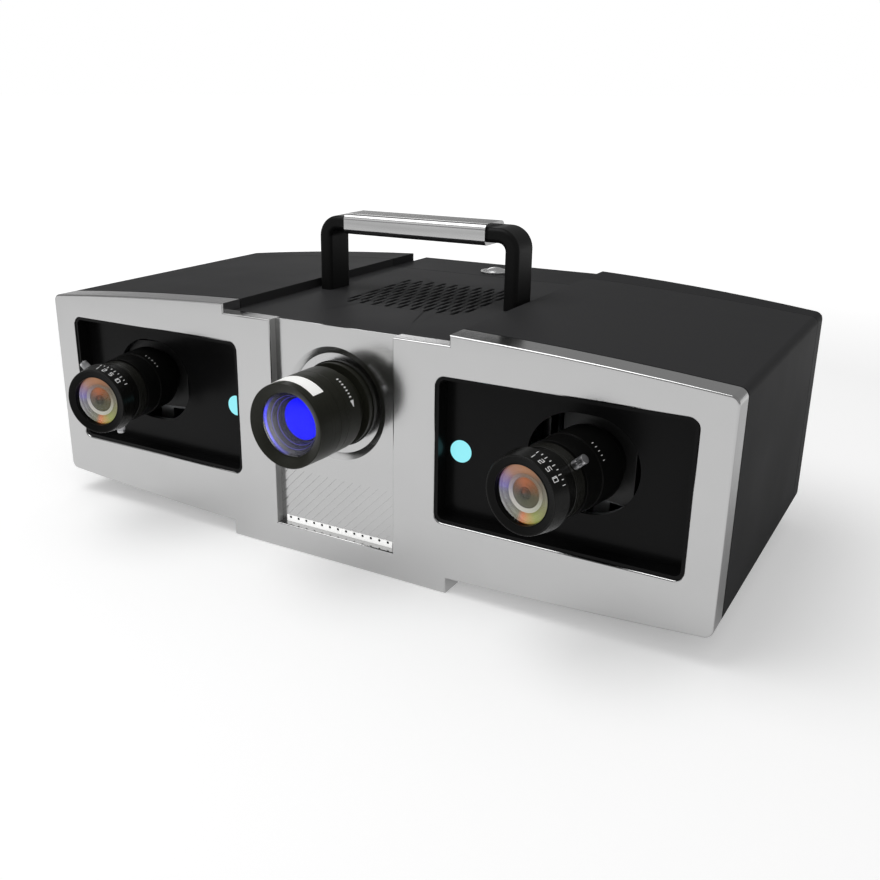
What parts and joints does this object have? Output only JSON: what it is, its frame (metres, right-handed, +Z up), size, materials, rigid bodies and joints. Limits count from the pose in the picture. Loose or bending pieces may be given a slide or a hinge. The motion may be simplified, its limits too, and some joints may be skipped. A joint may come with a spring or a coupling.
{
  "type": "three-d scanner",
  "caption": "Structured-light scanner head: toed-in camera lenses beside a central projector lens, behind a silver front plate in an arched black case with a carrying handle.",
  "frame": {"origin": "mouth of the tripod thread, in the middle of the flat underside of the centre block", "axes": "+X along the scanner's width, towards the right-hand camera as seen from the front; front and lenses towards -Y; +Z up"},
  "size_m": [0.37, 0.2436, 0.1601],
  "materials": {
    "satin_silver": "satin anodised",
    "bright_silver": "fine turned",
    "strip_white": "matte",
    "tray_black": "satin",
    "indicator_cyan": "gloss",
    "cover_black": "satin powder coat",
    "rear_black": "satin powder coat",
    "screw_steel": "satin",
    "plate_steel": "satin",
    "bench_grey": "milled",
    "post_brass": "turned",
    "camera_black": "satin",
    "lens_grey": "satin anodised",
    "lens_black": "satin anodised",
    "camera_glass": "coated",
    "projector_olive": "satin anodised",
    "blue_glass": "coated",
    "label_white": "matte",
    "sink_aluminium": "extruded",
    "fan_plastic": "matte",
    "board_green": "satin",
    "switch_chrome": "bright",
    "handle_black": "satin",
    "grip_silver": "satin anodised"
  },
  "bodies": {
    "case": {"front_plate": "satin_silver", "projector_panel": "satin_silver", "light_strip": "strip_white", "projector_bezel": "bright_silver", "left_window_tray": "tray_black", "right_window_tray": "tray_black", "left_indicator": "indicator_cyan", "right_indicator": "indicator_cyan", "top_cover": "cover_black", "base_tray": "cover_black", "rear_cover": "rear_black", "rear_screws": "screw_steel", "left_rear_bracket": "bench_grey", "right_rear_bracket": "bench_grey", "tripod_plate": "plate_steel", "optical_bench": "bench_grey", "bench_posts": "post_brass", "bench_screws": "screw_steel", "left_camera_bracket": "bench_grey", "right_camera_bracket": "bench_grey", "camera_screws": "screw_steel", "left_camera_body": "camera_black", "right_camera_body": "camera_black", "left_lens_barrel": "lens_grey", "right_lens_barrel": "lens_grey", "left_lens_glass": "camera_glass", "right_lens_glass": "camera_glass", "projector_bracket": "bench_grey", "projector_body": "camera_black", "projector_barrel": "projector_olive", "projector_front_ring": "projector_olive", "projector_glass": "blue_glass", "projector_label": "label_white", "heat_sink": "sink_aluminium", "fan_frame": "fan_plastic", "main_board": "board_green", "board_standoffs": "post_brass", "board_screws": "screw_steel", "power_socket": "fan_plastic", "data_socket": "plate_steel", "switch_body": "switch_chrome", "handle_left_leg": "handle_black", "handle_right_leg": "handle_black", "handle_grip": "grip_silver", "handle_screws": "screw_steel"},
    "left_focus_ring": {"left_focus_ring": "lens_black"},
    "right_focus_ring": {"right_focus_ring": "lens_black"},
    "left_iris_ring": {"left_iris_ring": "lens_black"},
    "right_iris_ring": {"right_iris_ring": "lens_black"},
    "left_focus_lock": {"left_focus_lock": "screw_steel"},
    "left_iris_lock": {"left_iris_lock": "screw_steel"},
    "right_focus_lock": {"right_focus_lock": "screw_steel"},
    "right_iris_lock": {"right_iris_lock": "screw_steel"},
    "projector_focus_ring": {"projector_focus_ring": "projector_olive"},
    "power_button": {"power_button": "switch_chrome"},
    "fan_rotor": {"fan_rotor": "fan_plastic"}
  },
  "joints": [
    {"name": "left_focus_turn", "type": "hinge", "parent": "case", "child": "left_focus_ring", "pos_m": [-0.11722, -0.11866, 0.0746], "axis": [0.1908, -0.9816, 0], "range_deg": [-120, 120]},
    {"name": "left_iris_turn", "type": "hinge", "parent": "case", "child": "left_iris_ring", "pos_m": [-0.11919, -0.10855, 0.0746], "axis": [0.1908, -0.9816, 0], "range_deg": [-40, 40]},
    {"name": "right_focus_turn", "type": "hinge", "parent": "case", "child": "right_focus_ring", "pos_m": [0.11722, -0.11866, 0.0746], "axis": [-0.1908, -0.9816, 0], "range_deg": [-120, 120]},
    {"name": "right_iris_turn", "type": "hinge", "parent": "case", "child": "right_iris_ring", "pos_m": [0.11919, -0.10855, 0.0746], "axis": [-0.1908, -0.9816, 0], "range_deg": [-40, 40]},
    {"name": "left_focus_lock_turn", "type": "hinge", "parent": "left_focus_ring", "child": "left_focus_lock", "pos_m": [-0.12904, -0.11606, 0.0857], "axis": [-0.6941, -0.1349, 0.7071], "range_deg": [0, 270]},
    {"name": "left_iris_lock_turn", "type": "hinge", "parent": "left_iris_ring", "child": "left_iris_lock", "pos_m": [-0.11919, -0.10855, 0.0589], "axis": [0, 0, -1], "range_deg": [0, 270]},
    {"name": "right_focus_lock_turn", "type": "hinge", "parent": "right_focus_ring", "child": "right_focus_lock", "pos_m": [0.10284, -0.11097, 0.07651], "axis": [-0.9743, 0.1894, 0.1219], "range_deg": [0, 270]},
    {"name": "right_iris_lock_turn", "type": "hinge", "parent": "right_iris_ring", "child": "right_iris_lock", "pos_m": [0.13082, -0.11081, 0.0849], "axis": [0.7408, -0.144, 0.6561], "range_deg": [0, 270]},
    {"name": "projector_focus_turn", "type": "hinge", "parent": "case", "child": "projector_focus_ring", "pos_m": [0, -0.096, 0.0809], "axis": [0, -1, 0], "range_deg": [-60, 60]},
    {"name": "power_press", "type": "slide", "parent": "case", "child": "power_button", "axis": [0, 0, -1], "range_m": [0, 0.0016], "stiffness_N_per_m": 900, "springref_m": -0.001},
    {"name": "fan_spin", "type": "hinge", "parent": "case", "child": "fan_rotor", "pos_m": [0, 0.038, 0.075], "axis": [0, 1, 0], "continuous": true}
  ]
}
